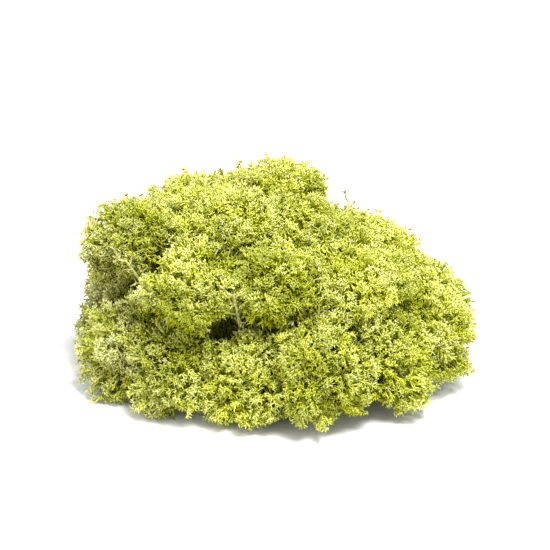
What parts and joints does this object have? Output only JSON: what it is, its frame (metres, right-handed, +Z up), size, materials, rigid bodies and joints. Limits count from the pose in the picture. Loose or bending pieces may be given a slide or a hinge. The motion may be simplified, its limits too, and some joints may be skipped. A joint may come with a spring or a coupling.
{
  "type": "reindeer moss clump",
  "caption": "Picked cushion of reindeer lichen: rounded crowns of forked branchlets on thin stems, with dry stems between them, lying on its stem ends.",
  "frame": {"origin": "on the surface that the clump rests on, under the middle of its outline", "axes": "+X along the clump's longest side, +Y towards its back, +Z up"},
  "size_m": [0.1044, 0.0968, 0.054],
  "materials": {
    "lichen": "matte",
    "dry_stem": "matte"
  },
  "bodies": {
    "root": {"dry_stem_1": "dry_stem", "dry_stem_2": "dry_stem", "dry_stem_3": "dry_stem", "podetium_01": "lichen", "podetium_02": "lichen", "podetium_03": "lichen", "podetium_04": "lichen", "podetium_05": "lichen", "podetium_06": "lichen", "podetium_07": "lichen", "podetium_08": "lichen", "podetium_09": "lichen", "podetium_10": "lichen", "podetium_11": "lichen", "podetium_12": "lichen", "podetium_13": "lichen", "podetium_14": "lichen", "podetium_15": "lichen", "podetium_16": "lichen", "podetium_17": "lichen", "podetium_18": "lichen", "podetium_19": "lichen", "podetium_20": "lichen", "podetium_21": "lichen", "podetium_22": "lichen", "podetium_23": "lichen", "podetium_24": "lichen"}
  },
  "joints": []
}
